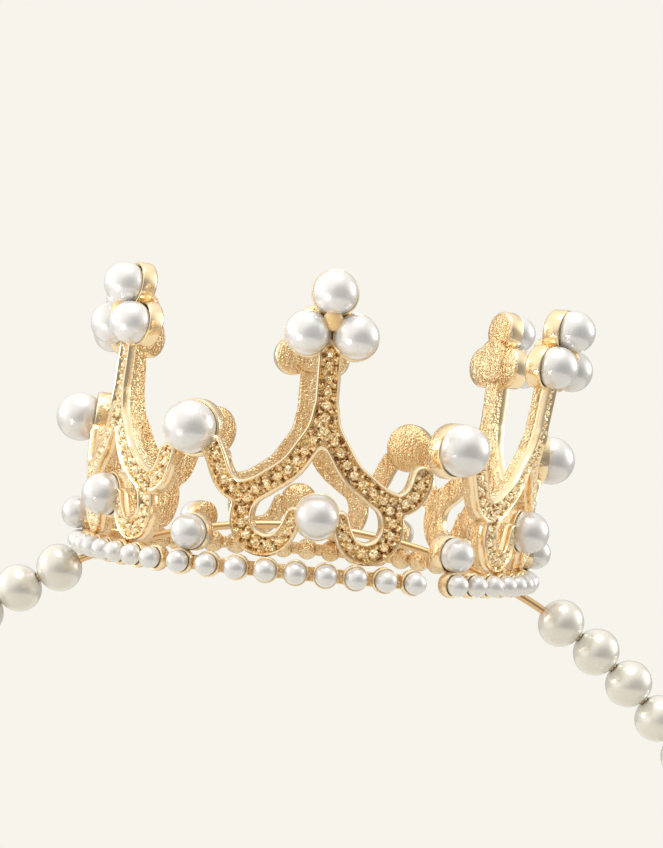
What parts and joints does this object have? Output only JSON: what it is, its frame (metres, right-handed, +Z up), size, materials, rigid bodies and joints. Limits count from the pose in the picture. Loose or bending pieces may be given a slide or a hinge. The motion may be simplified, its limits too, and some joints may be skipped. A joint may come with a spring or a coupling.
{
  "type": "crown hairband",
  "caption": "Small open crown of gilt openwork castings set with pearls, on a sprung wire hairband threaded with loose pearl beads.",
  "frame": {"origin": "middle of the crown's flat underside, where the hairband rests on top of the head", "axes": "+Z up out of the crown, +X to the hairband's right arm as seen from the front, -Y to the crown's front"},
  "size_m": [0.1296, 0.0653, 0.1255],
  "materials": {
    "gilt": "pale gold plating on cast alloy, polished edges and a granulated front",
    "gilt_wire": "pale gold plating on drawn spring wire, bright",
    "pearl": "white pearl lacquer, satin gloss",
    "ivory_pearl": "ivory pearl lacquer, satin gloss"
  },
  "bodies": {
    "crown": {"casting_1": "gilt", "base_pearls_1": "pearl", "low_pearl_1": "pearl", "corner_pearl_1": "pearl", "heart_pearl_1": "pearl", "tip_pearls_1": "pearl", "casting_2": "gilt", "base_pearls_2": "pearl", "low_pearl_2": "pearl", "corner_pearl_2": "pearl", "heart_pearl_2": "pearl", "tip_pearls_2": "pearl", "casting_3": "gilt", "base_pearls_3": "pearl", "low_pearl_3": "pearl", "corner_pearl_3": "pearl", "heart_pearl_3": "pearl", "tip_pearls_3": "pearl", "casting_4": "gilt", "base_pearls_4": "pearl", "low_pearl_4": "pearl", "corner_pearl_4": "pearl", "heart_pearl_4": "pearl", "tip_pearls_4": "pearl", "casting_5": "gilt", "base_pearls_5": "pearl", "low_pearl_5": "pearl", "corner_pearl_5": "pearl", "heart_pearl_5": "pearl", "tip_pearls_5": "pearl", "casting_6": "gilt", "base_pearls_6": "pearl", "low_pearl_6": "pearl", "corner_pearl_6": "pearl", "heart_pearl_6": "pearl", "tip_pearls_6": "pearl", "wire_middle": "gilt_wire", "left_saddle": "gilt", "right_saddle": "gilt"},
    "left_arm": {"left_arm_wire": "gilt_wire", "left_tip": "gilt"},
    "left_beads": {"left_bead_row_1": "ivory_pearl", "left_bead_row_2": "ivory_pearl"},
    "left_bead_1": {"left_bead_1": "ivory_pearl"},
    "left_bead_2": {"left_bead_2": "ivory_pearl"},
    "left_bead_3": {"left_bead_3": "ivory_pearl"},
    "left_bead_4": {"left_bead_4": "ivory_pearl"},
    "right_arm": {"right_arm_wire": "gilt_wire", "right_tip": "gilt"},
    "right_beads": {"right_bead_row_1": "ivory_pearl", "right_bead_row_2": "ivory_pearl"},
    "right_bead_1": {"right_bead_1": "ivory_pearl"},
    "right_bead_2": {"right_bead_2": "ivory_pearl"},
    "right_bead_3": {"right_bead_3": "ivory_pearl"},
    "right_bead_4": {"right_bead_4": "ivory_pearl"}
  },
  "joints": [
    {"name": "left_arm_flex", "type": "hinge", "parent": "crown", "child": "left_arm", "pos_m": [-0.02886, 0, -0.00129], "axis": [0, 1, 0], "range_deg": [-3, 8], "stiffness_Nm_per_rad": 0.5},
    {"name": "left_beads_slide", "type": "hinge", "parent": "left_arm", "child": "left_beads", "pos_m": [0, 0, -0.0565], "axis": [0, -1, 0], "range_deg": [0, 1.9]},
    {"name": "left_bead_1_spin", "type": "hinge", "parent": "left_beads", "child": "left_bead_1", "pos_m": [-0.03058, 0, -0.00222], "axis": [-0.8712, 0, -0.4909], "continuous": true},
    {"name": "left_bead_2_spin", "type": "hinge", "parent": "left_beads", "child": "left_bead_2", "pos_m": [-0.03538, 0, -0.00522], "axis": [-0.8231, 0, -0.5678], "continuous": true},
    {"name": "left_bead_3_spin", "type": "hinge", "parent": "left_beads", "child": "left_bead_3", "pos_m": [-0.03988, 0, -0.00864], "axis": [-0.7683, 0, -0.6401], "continuous": true},
    {"name": "left_bead_4_spin", "type": "hinge", "parent": "left_beads", "child": "left_bead_4", "pos_m": [-0.04405, 0, -0.01245], "axis": [-0.7071, 0, -0.7071], "continuous": true},
    {"name": "right_arm_flex", "type": "hinge", "parent": "crown", "child": "right_arm", "pos_m": [0.02886, 0, -0.00129], "axis": [0, -1, 0], "range_deg": [-3, 8], "stiffness_Nm_per_rad": 0.5},
    {"name": "right_beads_slide", "type": "hinge", "parent": "right_arm", "child": "right_beads", "pos_m": [0, 0, -0.0565], "axis": [0, -1, 0], "range_deg": [0, 1.9]},
    {"name": "right_bead_1_spin", "type": "hinge", "parent": "right_beads", "child": "right_bead_1", "pos_m": [0.03241, 0, -0.0033], "axis": [0.854, 0, -0.5203], "continuous": true},
    {"name": "right_bead_2_spin", "type": "hinge", "parent": "right_beads", "child": "right_bead_2", "pos_m": [0.0371, 0, -0.00645], "axis": [0.8033, 0, -0.5955], "continuous": true},
    {"name": "right_bead_3_spin", "type": "hinge", "parent": "right_beads", "child": "right_bead_3", "pos_m": [0.04148, 0, -0.01002], "axis": [0.7461, 0, -0.6659], "continuous": true},
    {"name": "right_bead_4_spin", "type": "hinge", "parent": "right_beads", "child": "right_bead_4", "pos_m": [0.04553, 0, -0.01397], "axis": [0.6826, 0, -0.7308], "continuous": true}
  ]
}
